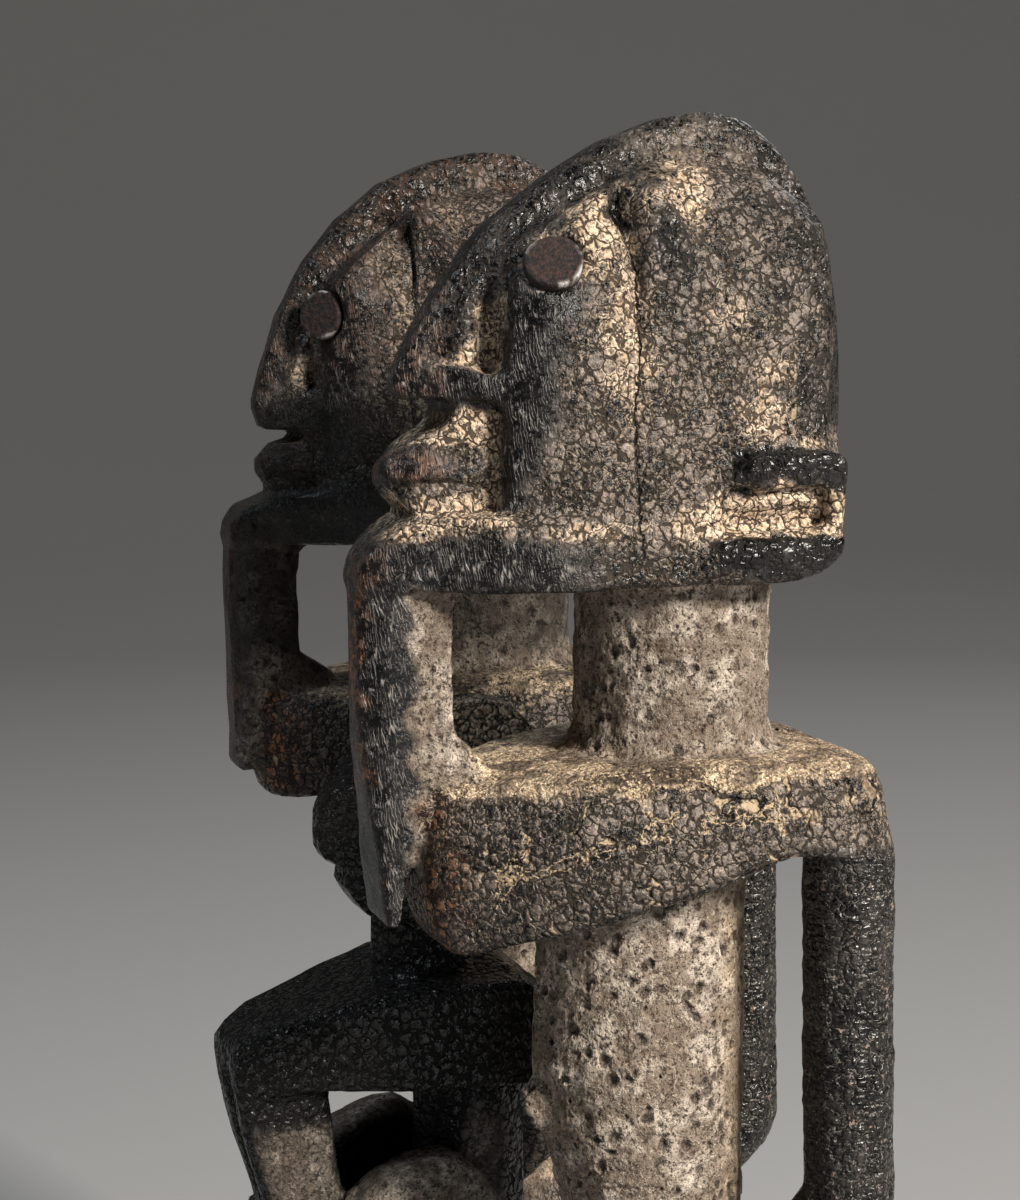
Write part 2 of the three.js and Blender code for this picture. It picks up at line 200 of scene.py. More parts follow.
rise = -(0.5 + 1.9 * top_corner) * np.exp(-(seam / (0.8 + 0.5 * top_corner)) ** 2)
rise *= band(z, 284, np.where(near, 355, 349), 2.5)
for along, up, reach, tallness, height in hair_mounds:
    rise += height * np.exp(-((y - hair - along) / reach) ** 2 - ((z - up) / tallness) ** 2)
for along, up, reach, tallness, height in face_mounds:
    along = along - front * (along < -20) - drop * 0.4 * (along < -20)
    up = up - drop * (along < -40)
    rise += height * np.exp(-((y - along) / reach) ** 2 - ((z - up) / tallness) ** 2)
rise = rise * on_side
slot = tall & (side > 14) & (side < 23.6) & (z > 287) & (z < 298) & (y > 2)
rise += 2.2 * slot * np.exp(-((z - 293.4) / 2.6) ** 2) * on_side
# The chest slabs are worn rounder than the other parts
on_chest = tall * band(z, 201, 246, 2) * soft(y, -53 - front, -47 - front)
on_chest *= 1 - (1 - soft(z, 222, 228)) * soft(y, 18, 22)
rise += 0.6 * np.minimum(hollow_wide, 0) * on_chest
block.data.vertices.foreach_set("co", ((place + facing * rise[:, None]) / 1000).ravel())

# The edges of every finish wander a little, by a sum of waves of many lengths
dice = np.random.default_rng(4)
waves, sway = 14, 1.3
stray = np.zeros((2, count))
for _ in range(waves):
    pull = dice.normal(size=3)
    pull *= dice.uniform(0.25, 1.1) / np.linalg.norm(pull)
    stray += np.sin(place @ pull + dice.uniform(0, 6.3, (2, 1))) / waves ** 0.5
y = y + stray[0] * sway
z = z + stray[1] * sway

# The parts that the finishes go by
on_head = tall * soft(z, 274, 277)
neck = tall * band(z, 243, 277, 1.5) * (1 - soft(np.hypot(side, y - 7.2), 23.5, 25.5))
torso = tall * band(z, 100, 226, 2) * (1 - soft(np.hypot(side / 0.94, y - 1), 24.5, 26.5))
beard = tall * band(z, 200, 277, 1) * (1 - soft(y, -40, -36)) * (1 - soft(side, 11, 13))
beard *= np.where(z < 238, 1 - soft(y, np.where(near, -50, -55), np.where(near, -48, -53)), 1)
slab = tall * band(z, 198, 247, 2) * (1 - np.maximum.reduce([beard, neck, torso]))
slab *= 1 - (1 - soft(np.hypot(side - 28, y - 34), 11, 14)) * (z < 226)
arm = tall * band(z, 100, 226, 3) * soft(y, 22, 25) * soft(side, 15, 18)
slab_top = slab * (z > 228) * np.maximum(soft(facing[:, 2], 0.35, 0.7),
                                         soft(z + 2.2 * stray[1], 236, 241))

beard_line = np.where(near, -50.5, -57)
beard_back = soft(y, beard_line - 1, beard_line + 1)
navel = torso * soft(-y, 21, 24) * band(z, 128, 152, 3)
bare = np.maximum.reduce([0.86 * neck, torso, 0.8 * beard * beard_back])
knee = small * soft(z, 110, 114) * soft(np.abs(x), 11, 14) * (1 - soft(z, 150, 154))
bare = np.maximum(bare, 0.65 * knee) * (1 - 0.8 * navel)

# Combed: the parts of the faces and beards that are scored with short cuts
nose_front = on_head * (1 - soft(y, -45 - drop * 0.5, -41 - drop * 0.5)) * soft(z, 306, 312)
ledge = on_head * band(z, 311 - drop * 1.6, 318 - drop * 1.6, 0.8) * (1 - soft(y, -34, -32))
cheek_end = -29 - front + (z - 296) * 0.2
cheek = on_head * band(z, 294, 336, 2.5) * soft(side, 12, 15) * (
    soft(y, -39 - front, -35 - front) * (1 - soft(y, cheek_end - 2, cheek_end + 3)))
lips = on_head * band(z, 296 - drop, 302.5 - drop, 1.2) * (1 - soft(y, -44, -40)) * (
    1 - soft(side, 13.5, 15))
jaw = on_head * band(z, 268, 286.5, 1.5)
jaw_front = jaw * (1 - soft(y, -32, -10))
beard_front = beard * (1 - beard_back)
combed = np.maximum.reduce([ledge, cheek, lips, jaw_front, beard_front,
                            nose_front * (1 - soft(side, 5, 8))])

# The crest: how far inside the outline of its head each point lies, in millimetres
crest = np.zeros(count)
for half in (near, ~near):
    chosen = np.nonzero(half & tall & (z > 290))[0]
    row, column = (z[chosen] - 290).astype(int), (y[chosen] + 90).astype(int)
    foremost, highest = np.full(100, 99.0), np.full(160, 0.0)
    np.minimum.at(foremost, row, y[chosen])
    np.maximum.at(highest, column, z[chosen])
    behind = np.maximum(y[chosen] - foremost[row], 0.01)
    below = np.maximum(highest[column] - z[chosen], 0.01)
    inside = behind * below / np.hypot(behind, below)
    crest[chosen] = 1 - soft(inside + 1.5 * stray[0, chosen], 6.5, 11)
crest *= soft(z, 316, 322) * (1 - soft(y, 18, 30))
# Dust: powdery earth in the hollows, rubbed off wherever hands reach
dust = soft(hollow_wide, -0.2, 1.5)
jaw_top = on_head * band(z, 286.5, 293, 1.5)
channel = on_head * soft(z, 320, 334) * band(side, 8.5, 21, 2.5) * (1 - soft(y - hair, 9, 20))
nose_side = on_head * band(z, 317.5 - drop, 343, 3) * band(y, -47 - drop, -35 - front, 2.5) * (
    1 - soft(side, 15, 18))
ear_hollow = on_head * band(z, 287.2, 295.4, 0.9) * band(y, 2, 33, 3) * soft(side, 18, 20)
temple = tall * np.exp(-((y - hair + 4.5) / 6.5) ** 2 - ((z - 326) / 24) ** 2)
rear_low = tall * (np.exp(-((y - hair - 26) / 11) ** 2 - ((z - 311) / 11) ** 2)
                   + 0.8 * np.exp(-((y - hair - 16) / 9) ** 2 - ((z - 330) / 6) ** 2))
upper_lip = on_head * band(z, 304 - drop, 313 - drop * 1.4, 1) * (1 - soft(y, -36, -33))
under_lip = on_head * band(z, 289 - drop, 294 - drop, 1) * (1 - soft(y, -36, -33))
# The ear rolls are dark wood; the upper band reaches below its roll as painted shade under it
ear_rolls_and_shade = on_head * soft(side, 22.5, 24) * np.maximum(
    band(z, 295.3 + 0.08 * (y - 14), 304.4, 0.8) * soft(y, 7, 11),
    band(z, 278.5, 286.6, 0.7) * soft(y, 2, 7))
horn = tall * np.exp(-((y - hair - 5) / 5) ** 2 - ((z - 343) / 11) ** 2)
# The pocket beside each horn is painted as its dark shadow: no earth, the dark worn tone, and
# painted shade on the near one
horn_pocket_shadow = tall * np.exp(-((y - hair + 3.2) / 2.2) ** 2 - ((z - 350) / 6) ** 2)
rear = on_head * soft(y - hair + 6 * stray[1], 24, 38) * soft(z, 303, 309)
skull_top = small * soft(x, -6, 0) * soft(z, 229, 236)
dust = np.maximum.reduce([
    0.7 * dust, slab_top, 0.72 * jaw_top * np.clip(0.8 + 0.4 * stray[0], 0, 1),
    0.95 * channel, nose_side, ear_hollow,
    0.75 * temple, 0.66 * rear_low, 0.85 * upper_lip, 0.75 * under_lip, 0.26 * on_head,
    0.25 * slab, 0.95 * skull_top])
dust *= (1 - 0.97 * combed) * (1 - 0.8 * arm) * (1 - 0.85 * small * (1 - skull_top))
dust *= 1 - 0.7 * rear
dust *= 1 - 0.6 * on_head * soft(y - hair, 14, 21) * soft(z, 332, 341)
dust *= (1 - 0.95 * ear_rolls_and_shade) * (1 - 0.9 * horn) * (1 - horn_pocket_shadow)
dust *= 1 - crest * (0.92 - 0.5 * soft(y, -15, 10))
dust *= np.where((z < 100) & (facing[:, 2] < 0.8), 0.5, 1)
dust *= np.where(near, 1, 0.6)

# Worn: dark and smooth where the wood is handled. The same dark is painted shade over the small
# figure, in the pocket beside each horn and under each upper ear roll
worn_and_shade = np.maximum.reduce([
    soft(-hollow_wide, 0.4, 1.8) * (1 - slab_top), combed,
    slab * (1 - slab_top) * (0.1 + 0.4 * (1 - soft(z + 0.12 * y, 215, 226))),
    0.75 * rear, ear_rolls_and_shade, 0.9 * horn, horn_pocket_shadow, crest * (0.85 - 0.45 * soft(y, -15, 10)),
    0.9 * arm, 0.9 * small, 0.85 * jaw * (1 - soft(z, 284, 286.5)), 0.5 * (z < 100)])
worn_and_shade *= (1 - bare) * (1 - 0.7 * dust)
rough = np.maximum(0.9 * slab, rear_low)
russet = np.maximum.reduce([
    0.9 * slab * (1 - slab_top) * (1 - soft(y, -48, -40)), 0.25 * lips, 0.15 * nose_front,
    0.8 * beard_front * (1 - soft(y, -61, -58)), 0.3 * jaw_front * (1 - soft(y, -60, -55)),
    0.14 * on_head * ~near * soft(z, 312, 322)])
fibrous = np.exp(-((y + 12) / 17) ** 2 - ((x - 92) / 9) ** 2) * near
lime = np.maximum(torso * soft(y, 8, 22), slab_top * soft(fibrous, 0.2, 0.6))
# Painted shade: near-black over the far figure from its slab up, most of all on its face and
# beard, where the near figure shades it; over the small figure in front, but for its knees and the
# top of its head; and in the pocket beside the near horn
painted_shade = np.maximum.reduce([
    np.where(near, 0, 0.3 + 0.65 * band(z, 246, 308, 6)) * tall * (z > 200),
    0.95 * small * (1 - knee) * (1 - skull_top), 0.9 * horn_pocket_shadow * near])

for name, parts in (("soil_and_shade", (dust, worn_and_shade, painted_shade)), ("surface", (bare, combed, russet)),
                    ("other", (arm, lime, slab_top)), ("breaks", (rough, crest, navel))):
    kept_as(name, np.clip(np.stack(parts, 1), 0, 1))
far_off = 6.0  # millimetres, this far from its middle no groove or vein shows
in_groove = (on_side > 0.5) & (np.abs(seam) < far_off) & (z < 354) & (z > 283)
kept_as("seam", np.where(in_groove, seam, far_off))

# Pale veins where the near slab's crust has parted, traced over its side
vein_courses = (
    ((-52, 247), (-41, 242), (-34, 239), (-20, 239.6), (-10, 239), (2, 240), (13, 238.6),
     (24, 241), (34, 242.4)),
    ((-48, 226), (-35, 222), (-24.5, 225.5), (-4.6, 233.5), (16, 234)),
    ((-37, 214), (-35, 222), (-33, 229)),
    ((-12, 231), (-10, 239)),
    ((13, 238.6), (17, 229)))
vein = np.full(count, far_off)
on_slab = near & (slab > 0.5) & (x > 80) & (place[:, 2] > 205) & (place[:, 2] < 244)
for course in vein_courses:
    for (y0, z0), (y1, z1) in zip(course, course[1:]):
        span = np.array((y1 - y0, z1 - z0))
        from_start = np.stack((y - y0, z - z0), 1)
        share = np.clip(from_start @ span / (span @ span), 0, 1)
        vein = np.minimum(vein, np.linalg.norm(from_start - share[:, None] * span, axis=1))
vein -= 1.2 * np.exp(-((y + 35) ** 2 + (z - 222) ** 2) / 4)
kept_as("vein", np.where(on_slab, vein, far_off))

# Relief: knife marks all over, pits in the bare wood, wrinkles on the arms, shrinkage cracks
relief = bpy.data.node_groups.new("relief", "GeometryNodeTree")
relief.interface.new_socket("Wood", in_out="INPUT", socket_type="NodeSocketGeometry")
for socket in relief_sizes:
    relief.interface.new_socket(socket, in_out="INPUT", socket_type="NodeSocketFloat")
relief.interface.new_socket("Finish", in_out="INPUT", socket_type="NodeSocketMaterial")
relief.interface.new_socket("Wood", in_out="OUTPUT", socket_type="NodeSocketGeometry")
given = relief.nodes.new("NodeGroupInput").outputs


def calc(tree, kind, *values, **more):
    return node_of(tree, "ShaderNodeMath", *values, operation=kind, **more).outputs[0]


def ramp_of(tree, value, low, high, to_low=0.0, to_high=1.0):
    return node_of(tree, "ShaderNodeMapRange", value, low, high, to_low, to_high,
                   interpolation_type="SMOOTHSTEP").outputs[0]


def mask_of(tree, name):
    if tree.bl_idname == "GeometryNodeTree":
        read = node_of(tree, "GeometryNodeInputNamedAttribute", name, data_type="FLOAT_VECTOR")
        value = read.outputs[0]
    else:
        value = node_of(tree, "ShaderNodeAttribute", attribute_name=name).outputs["Vector"]
    return node_of(tree, "ShaderNodeSeparateXYZ", value).outputs


def speckle(tree, where, scale, detail=2.0, rough=0.5):
    return node_of(tree, "ShaderNodeTexNoise", where, None, scale, detail, rough)


def stretched(tree, where, across, along):
    return node_of(tree, "ShaderNodeVectorMath", where, (across, across, along),
                   operation="MULTIPLY").outputs[0]


def warped(tree, where, scale, reach):
    wander = speckle(tree, where, scale, 1.0).outputs["Color"]
    wander = node_of(tree, "ShaderNodeVectorMath", wander, (0.5, 0.5, 0.5),
                     operation="SUBTRACT").outputs[0]
    wander = node_of(tree, "ShaderNodeVectorMath", wander, operation="SCALE")
    wander.inputs["Scale"].default_value = reach
    return node_of(tree, "ShaderNodeVectorMath", where, wander.outputs[0],
                   operation="ADD").outputs[0]


def cells(tree, where, size, feature):
    node = node_of(tree, "ShaderNodeTexVoronoi", where, feature=feature)
    if isinstance(size, bpy.types.NodeSocket):
        tree.links.new(calc(tree, "DIVIDE", 1.0, size), node.inputs["Scale"])
    else:
        node.inputs["Scale"].default_value = 1 / size
    return node


def in_millimetres(tree, spot):
    return node_of(tree, "ShaderNodeVectorMath", spot, (1000, 1000, 1000),
                   operation="MULTIPLY").outputs[0]


spot = in_millimetres(relief, node_of(relief, "GeometryNodeInputPosition").outputs[0])
bare_in, combed_in, _ = mask_of(relief, "surface")
arm_in = mask_of(relief, "other")[0]
marks = speckle(relief, spot, 0.075, 3.0, 0.55).outputs[0]
marks = calc(relief, "MULTIPLY", calc(relief, "SUBTRACT", marks, 0.62),
             given["Knife marks"])
pit_cells = cells(relief, warped(relief, spot, 0.6, 1.7), given["Pit spacing"], "F1")
chance = node_of(relief, "ShaderNodeSeparateXYZ", pit_cells.outputs["Color"]).outputs[0]
thick = ramp_of(relief, speckle(relief, spot, 0.13).outputs[0], 0.36, 0.58, 0.22, 0.62)
reach = calc(relief, "MULTIPLY", ramp_of(relief, chance, 0.1, 1.0, 0.2, 1.0), thick)
pit = calc(relief, "SUBTRACT", 1.0,
           calc(relief, "DIVIDE", pit_cells.outputs["Distance"], reach, use_clamp=True))
pit_shape = calc(relief, "MULTIPLY", pit, bare_in)
pit = calc(relief, "MULTIPLY", pit_shape, given["Pit depth"])
lumps = speckle(relief, spot, 0.3, 3.0, 0.6).outputs[0]
lumps = calc(relief, "MULTIPLY", calc(relief, "MULTIPLY_ADD", lumps, 1.6, -1.1), bare_in)
folds = speckle(relief, stretched(relief, spot, 0.2, 0.42), 1.0, 3.0, 0.6).outputs[0]
folds = calc(relief, "SUBTRACT", ramp_of(relief, folds, 0.3, 0.7), 1.0)
folds = calc(relief, "MULTIPLY", calc(relief, "MULTIPLY", folds, arm_in),
             given["Arm wrinkles"])
crack_cells = cells(relief, warped(relief, spot, 0.18, 5.0), given["Crack spacing"],
                    "DISTANCE_TO_EDGE")
crack = ramp_of(relief, crack_cells.outputs["Distance"], 0.0, 0.06, 1.0, 0.0)
gate = ramp_of(relief, speckle(relief, spot, 0.1).outputs[0], 0.5, 0.6)
rough_in = mask_of(relief, "breaks")[0]
gate = calc(relief, "MULTIPLY", gate, calc(relief, "MULTIPLY_ADD", rough_in, 0.8, 0.2))
calm = calc(relief, "MAXIMUM", bare_in, combed_in)
gate = calc(relief, "MULTIPLY", gate, calc(relief, "SUBTRACT", 1.0, calm))
crack_shape = calc(relief, "MULTIPLY", crack, gate)
crack = calc(relief, "MULTIPLY", crack_shape, given["Crack depth"])
height = calc(relief, "SUBTRACT", calc(relief, "ADD", marks, lumps),
              calc(relief, "ADD", pit, crack))
height = calc(relief, "ADD", height, folds)
height = calc(relief, "MULTIPLY", height, 0.001)  # millimetres into metres
normal = node_of(relief, "GeometryNodeInputNormal").outputs[0]
push = node_of(relief, "ShaderNodeVectorMath", normal, operation="SCALE")
relief.links.new(height, push.inputs["Scale"])
wood = stored(relief, given["Wood"], "pit", pit_shape)
wood = stored(relief, wood, "crack", crack_shape)
wood = node_of(relief, "GeometryNodeSetPosition", wood, None, None, push.outputs[0]).outputs[0]
wood = node_of(relief, "GeometryNodeRealizeInstances", wood).outputs[0]
wood = node_of(relief, "GeometryNodeSetMaterial", wood)
relief.links.new(given["Finish"], wood.inputs["Material"])
relief.links.new(wood.outputs[0], node_of(relief, "NodeGroupOutput").inputs[0])

# The patina: its colours, the darkest and the palest of each layer
skin_tones = ((0.004, 0.0035, 0.003), (0.26, 0.21, 0.175))
worn_and_shade_tones = ((0.0015, 0.0015, 0.0015), (0.028, 0.025, 0.024))
russet_tones = ((0.02, 0.008, 0.005), (0.3, 0.12, 0.045))
powder_tones = ((0.07, 0.045, 0.027), (0.66, 0.51, 0.37))
fibre_tones = ((0.02, 0.013, 0.009), (0.11, 0.075, 0.05))
flake_tones = ((0.3, 0.2, 0.12), (0.8, 0.64, 0.44))
bone_tones = ((0.06, 0.045, 0.034), (0.58, 0.49, 0.4))
lime_tones = ((0.2, 0.13, 0.065), (0.5, 0.36, 0.2))
stain_tones = ((0.05, 0.034, 0.024), (0.17, 0.12, 0.085))
pit_earth_and_shade_tones = ((0.012, 0.009, 0.007), (0.09, 0.065, 0.048))
cut_tones = ((0.28, 0.255, 0.235), (0.26, 0.12, 0.08))
split_tones = ((0.005, 0.004, 0.003), (0.42, 0.32, 0.21))
border_earth, tan_earth, vein_earth = (0.3, 0.23, 0.17), (0.46, 0.32, 0.2), (0.46, 0.34, 0.21)
net_bone, navel_grey, line_black = (0.6, 0.52, 0.42), (0.24, 0.21, 0.17), (0.006, 0.005, 0.004)
# The last of these is the near-black of the painted shade
spot_brown, curl_grey, painted_shade_black = (0.26, 0.18, 0.14), (0.2, 0.18, 0.16), (0.002, 0.0016, 0.0015)

patina = bpy.data.materials.new("carved_wood_patina")
patina.use_nodes = True
look = patina.node_tree
look.nodes.clear()


def mixed(tree, share, low, high):
    node = node_of(tree, "ShaderNodeMix", data_type="RGBA")
    for socket, value in ((0, share), (6, low), (7, high)):
        if isinstance(value, bpy.types.NodeSocket):
            tree.links.new(value, node.inputs[socket])
        else:
            node.inputs[socket].default_value = value if socket == 0 else (*value, 1)
    return node.outputs[2]


def measure_of(tree, name):
    return node_of(tree, "ShaderNodeAttribute", attribute_name=name).outputs["Fac"]


def bumped(tree, height, distance):
    bump = node_of(tree, "ShaderNodeBump")
    bump.inputs["Strength"].default_value = 1.0
    bump.inputs["Distance"].default_value = distance
    tree.links.new(height, bump.inputs["Height"])
    return bump.outputs[0]


def finished(tree, colour, roughness, normal, **uniform):
    surface = node_of(tree, "ShaderNodeBsdfPrincipled")
    tree.links.new(colour, surface.inputs["Base Color"])
    tree.links.new(roughness, surface.inputs["Roughness"])
    tree.links.new(normal, surface.inputs["Normal"])
    for socket, value in uniform.items():
        surface.inputs[socket].default_value = value
    node_of(tree, "ShaderNodeOutputMaterial", surface.outputs[0])


spot = in_millimetres(look, node_of(look, "ShaderNodeTexCoord").outputs["Object"])
# The first attribute holds the dust, the wear with its painted shade, and the painted shade
dust_in, worn_and_shade_in, painted_shade_in = mask_of(look, "soil_and_shade")
bare_in, combed_in, russet_in = mask_of(look, "surface")
arm_in, lime_in, top_in = mask_of(look, "other")
rough_in, crest_in, navel_in = mask_of(look, "breaks")
seam_in, pit_in, crack_in, vein_in = (
    measure_of(look, name) for name in ("seam", "pit", "crack", "vein"))

drift = speckle(look, spot, 0.13, 2.0, 0.6).outputs[0]
patch = speckle(look, spot, 0.34, 2.0, 0.6).outputs[0]
grit = speckle(look, spot, 1.05, 3.0, 0.75).outputs[0]
fine = speckle(look, spot, 3.4, 1.0).outputs[0]
whole = calc(look, "SUBTRACT", 1.0, calc(look, "MAXIMUM", bare_in, combed_in))

# Crackle: thin broken lines round cells two or three millimetres wide, their borders dusty
cell_size = 2.6
cell = cells(look, warped(look, spot, 0.8, 1.7), cell_size, "DISTANCE_TO_EDGE").outputs["Distance"]
dome = ramp_of(look, cell, 0.0, 0.35)
width = ramp_of(look, patch, 0.36, 0.58, 0.03, 0.13)
width = calc(look, "MULTIPLY_ADD", calc(look, "MULTIPLY_ADD", grit, 1.0, -0.5), 0.12, width)
width = calc(look, "MAXIMUM", width, 0.002)
line = ramp_of(look, calc(look, "DIVIDE", cell, width), 0.4, 1.0, 1.0, 0.0)
line = calc(look, "MULTIPLY", line, calc(look, "MULTIPLY_ADD", crest_in, -0.5, 1.0))
border = ramp_of(look, cell, 0.0, 0.22, 1.0, 0.0)
thin_line = ramp_of(look, cell, 0.0, 0.05, 1.0, 0.0)
net = calc(look, "MULTIPLY", thin_line, bare_in)
net = calc(look, "MULTIPLY", net, ramp_of(look, grit, 0.42, 0.56))
line = calc(look, "MULTIPLY", line, whole)
line = calc(look, "MULTIPLY", line, calc(look, "MULTIPLY_ADD", top_in, -0.6, 1.0))
border = calc(look, "MULTIPLY", border, whole)
split = ramp_of(look, crack_in, 0.35, 0.65)
wander = calc(look, "MULTIPLY_ADD", patch, 3.0, calc(look, "ADD", seam_in, -1.5))
run = ramp_of(look, calc(look, "ABSOLUTE", wander), 0.08, 0.32, 1.0, 0.0)
run = calc(look, "MULTIPLY", run, ramp_of(look, grit, 0.36, 0.46))
split = calc(look, "MAXIMUM", split, run)

# Skin: dark oily wood, greyer where it is not handled, with powdery earth in the hollows
shade = calc(look, "MULTIPLY_ADD", patch, 1.0, calc(look, "MULTIPLY_ADD", grit, 2.6, -2.58))
shade = calc(look, "MULTIPLY_ADD", drift, 2.1, shade, use_clamp=True)
skin = mixed(look, shade, *skin_tones)
rim = calc(look, "MULTIPLY", border, ramp_of(look, grit, 0.42, 0.6))
skin = mixed(look, calc(look, "MULTIPLY", rim, 0.45), skin, border_earth)
# The dark of worn wood, which also serves as painted shade
worn_and_shade_here = calc(look, "MULTIPLY_ADD", grit, 1.6, calc(look, "ADD", worn_and_shade_in, -0.75))
worn_and_shade_here = calc(look, "MULTIPLY", ramp_of(look, worn_and_shade_here, 0.0, 0.6), worn_and_shade_in)
skin = mixed(look, worn_and_shade_here, skin, mixed(look, shade, *worn_and_shade_tones))
rust_spots = calc(look, "MULTIPLY_ADD", grit, 0.5, calc(look, "MULTIPLY", patch, 0.7))
rust_spots = ramp_of(look, rust_spots, 0.56, 0.7)
skin = mixed(look, russet_in, skin, mixed(look, rust_spots, *russet_tones))
powder = mixed(look, ramp_of(look, grit, 0.36, 0.6), *powder_tones)
powder = mixed(look, ramp_of(look, patch, 0.45, 0.65, 0.0, 0.6), powder, tan_earth)
amount = calc(look, "MULTIPLY_ADD", patch, 1.9, -1.56)
amount = calc(look, "MULTIPLY_ADD", dust_in, 1.6, amount)
amount = calc(look, "ADD", amount, calc(look, "MULTIPLY_ADD", grit, 2.0, -1.0))
amount = calc(look, "MULTIPLY_ADD", border, 0.95, amount, use_clamp=True)
amount = calc(look, "MULTIPLY", amount, ramp_of(look, dust_in, 0.05, 0.6))
skin = mixed(look, amount, skin, powder)
fibre = calc(look, "MAXIMUM", ramp_of(look, drift, 0.42, 0.5, 0.75, 0.0), lime_in)
fibre = calc(look, "MULTIPLY", fibre, top_in)
skin = mixed(look, calc(look, "MULTIPLY", fibre, 0.9), skin, mixed(look, shade, *fibre_tones))
flakes = calc(look, "ADD", grit, calc(look, "MULTIPLY_ADD", drift, 0.6, -0.3))
flakes = calc(look, "MULTIPLY_ADD", fibre, -0.07, flakes)
flakes = calc(look, "MULTIPLY", top_in, ramp_of(look, flakes, 0.47, 0.56))
skin = mixed(look, flakes, skin, mixed(look, ramp_of(look, fine, 0.35, 0.65), *flake_tones))

# Bare wood: pale, finely mottled, with a net of raised lines and worm-eaten pits
mottle = calc(look, "MULTIPLY_ADD", grit, 0.9, calc(look, "MULTIPLY", patch, 0.4))
bone = mixed(look, ramp_of(look, mottle, 0.51, 0.77), *bone_tones)
bone = mixed(look, calc(look, "MULTIPLY", lime_in, 0.7), bone, mixed(look, mottle, *lime_tones))
bone = mixed(look, ramp_of(look, drift, 0.45, 0.6, 0.75, 0.0), bone,
             mixed(look, mottle, *stain_tones))
bone = mixed(look, calc(look, "MULTIPLY", net, 0.85), bone, net_bone)
big_pit = calc(look, "ADD", pit_in, calc(look, "MULTIPLY_ADD", grit, 2.0, -1.0))
big_pit = ramp_of(look, big_pit, 0.16, 0.5)
small_pit = ramp_of(look, grit, 0.33, 0.39, 1.0, 0.0)
hole = calc(look, "MULTIPLY", calc(look, "MAXIMUM", big_pit, small_pit), bare_in)
skin = mixed(look, bare_in, skin, bone)
# Dark in the pits: brown earth, and painted shade in their depths
skin = mixed(look, calc(look, "MULTIPLY", hole, 0.78), skin,
             mixed(look, ramp_of(look, fine, 0.4, 0.6), *pit_earth_and_shade_tones))
skin = mixed(look, calc(look, "MULTIPLY", navel_in, 0.7), skin, navel_grey)

# Comb marks: short slanted cuts, pale on black
axes = node_of(look, "ShaderNodeSeparateXYZ", spot).outputs
off = calc(look, "SUBTRACT", calc(look, "ABSOLUTE", axes[0]), figure_x)
off = calc(look, "ABSOLUTE", off)
across = calc(look, "MULTIPLY_ADD", axes[2], 0.22, calc(look, "ADD", axes[1], off))
across = calc(look, "MULTIPLY_ADD", patch, 2.2, across)
comb_spot = node_of(look, "ShaderNodeCombineXYZ", calc(look, "MULTIPLY", across, 1.25),
                    calc(look, "MULTIPLY", axes[2], 0.11)).outputs[0]
cuts = cells(look, comb_spot, 1.0, "DISTANCE_TO_EDGE")
cuts.voronoi_dimensions = "2D"
cut_line = ramp_of(look, cuts.outputs["Distance"], 0.01, 0.12, 1.0, 0.0)
cut_gate = calc(look, "MULTIPLY_ADD", grit, 0.5, calc(look, "MULTIPLY", patch, 0.5))
cut_line = calc(look, "MULTIPLY", cut_line, ramp_of(look, cut_gate, 0.44, 0.56))
cut_line = calc(look, "MULTIPLY", cut_line, combed_in)
skin = mixed(look, calc(look, "MULTIPLY", cut_line, 0.8), skin,
             mixed(look, russet_in, *cut_tones))

# Over all of it: the crackle's lines, pale veins, splits, spots and curls on the arms, and painted
# shade
skin = mixed(look, calc(look, "MULTIPLY", line, 0.9), skin, line_black)
seam_fill = calc(look, "MULTIPLY", rough_in, ramp_of(look, patch, 0.46, 0.56))
seam_fill = calc(look, "MULTIPLY", seam_fill, calc(look, "SUBTRACT", 1.0, run))
thread = calc(look, "MULTIPLY_ADD", patch, 7.0, calc(look, "ADD", vein_in, -3.9))
thread = ramp_of(look, calc(look, "ABSOLUTE", thread), 0.05, 0.35, 1.0, 0.0)
thread = calc(look, "MAXIMUM", thread, ramp_of(look, vein_in, -0.6, 0.0, 1.0, 0.0))
thread = calc(look, "MULTIPLY", thread, ramp_of(look, grit, 0.38, 0.52))
skin = mixed(look, thread, skin, vein_earth)
skin = mixed(look, split, skin, mixed(look, seam_fill, *split_tones))
spots = calc(look, "MULTIPLY_ADD", patch, 0.7, calc(look, "MULTIPLY", grit, 0.5))
spots = ramp_of(look, spots, 0.73, 0.79)
skin = mixed(look, calc(look, "MULTIPLY", spots, arm_in), skin, spot_brown)
curl = calc(look, "MULTIPLY", thin_line, ramp_of(look, grit, 0.45, 0.6))
skin = mixed(look, calc(look, "MULTIPLY", curl, arm_in), skin, curl_grey)
# Painted shade goes over everything last, near-black
skin = mixed(look, calc(look, "MULTIPLY", painted_shade_in, 0.85), skin, painted_shade_black)

# Roughness: oily where it is dark, matt where it is dusty, bare or cracked
dull = calc(look, "MAXIMUM", calc(look, "MAXIMUM", amount, bare_in), line)
matt = ramp_of(look, dull, 0.0, 0.7, 0.25, 0.92)
matt = calc(look, "MULTIPLY_ADD", grit, 0.36, calc(look, "ADD", matt, -0.18), use_clamp=True)

